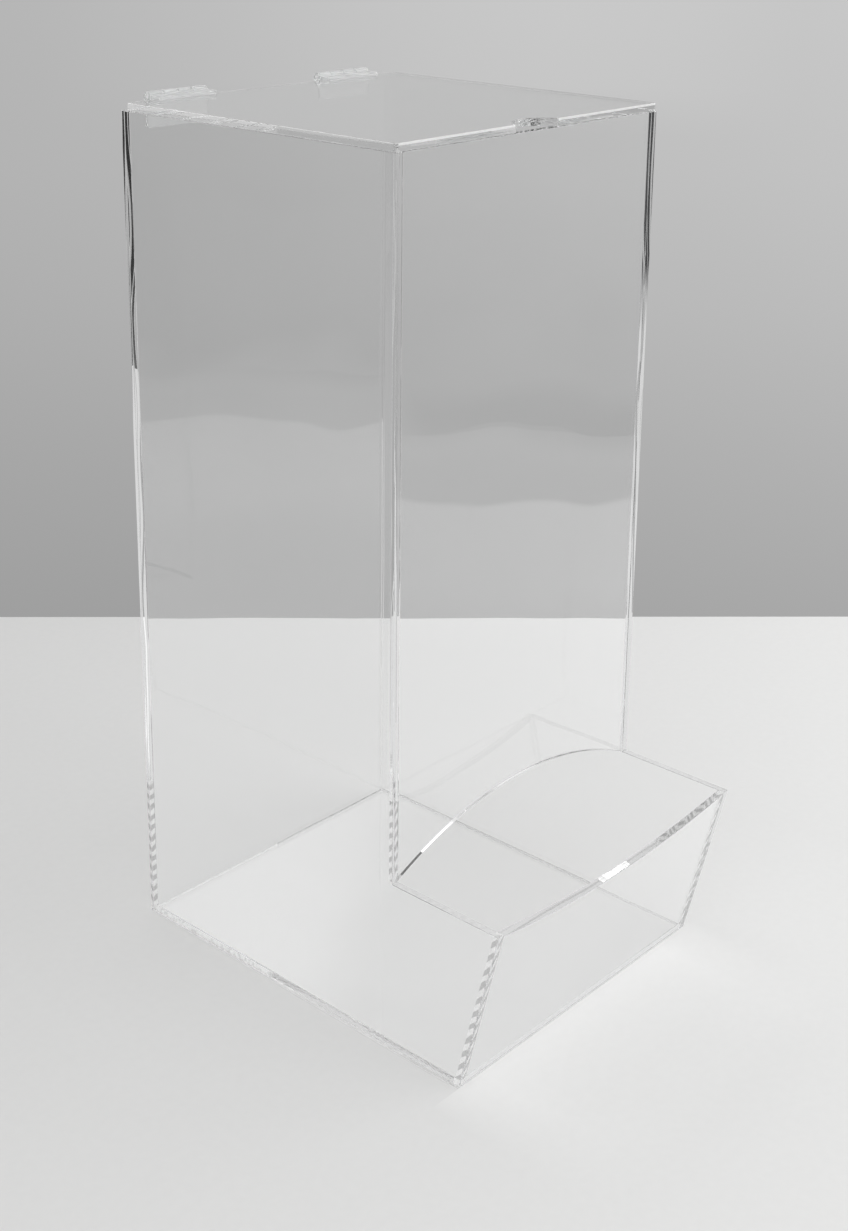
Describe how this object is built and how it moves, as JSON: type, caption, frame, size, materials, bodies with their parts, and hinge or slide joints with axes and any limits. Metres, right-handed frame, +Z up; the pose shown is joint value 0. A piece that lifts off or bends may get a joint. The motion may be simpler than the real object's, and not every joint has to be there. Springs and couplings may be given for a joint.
{
  "type": "candy dispenser",
  "caption": "Clear acrylic tower bin with an arched mouth, an open scoop bin at its foot and a lid hinged at the back.",
  "frame": {"origin": "on the table, under the middle of the whole piece's box", "axes": "+Z up, -Y towards the front with its open bin, +X to the right as seen from the front"},
  "size_m": [0.15, 0.2002, 0.3577],
  "materials": {
    "acrylic_sheet": "clear cast acrylic sheet, glossy, eased edges",
    "lid_acrylic": "clear cast acrylic sheet, glossy, eased edges",
    "hinge_plastic": "clear moulded plastic, glossy",
    "hinge_pin": "clear drawn plastic rod, glossy"
  },
  "bodies": {
    "bin_body": {"base_panel": "acrylic_sheet", "left_side_panel": "acrylic_sheet", "right_side_panel": "acrylic_sheet", "back_panel": "acrylic_sheet", "front_panel": "acrylic_sheet", "bin_lip": "acrylic_sheet", "left_hinge_body_leaf": "hinge_plastic", "left_hinge_pin": "hinge_pin", "right_hinge_body_leaf": "hinge_plastic", "right_hinge_pin": "hinge_pin"},
    "lid": {"lid": "lid_acrylic", "left_hinge_lid_leaf": "hinge_plastic", "right_hinge_lid_leaf": "hinge_plastic"}
  },
  "joints": [
    {"name": "lid_hinge", "type": "hinge", "parent": "bin_body", "child": "lid", "pos_m": [0, 0.09813, 0.35575], "axis": [-1, 0, 0], "range_deg": [0, 230]}
  ]
}
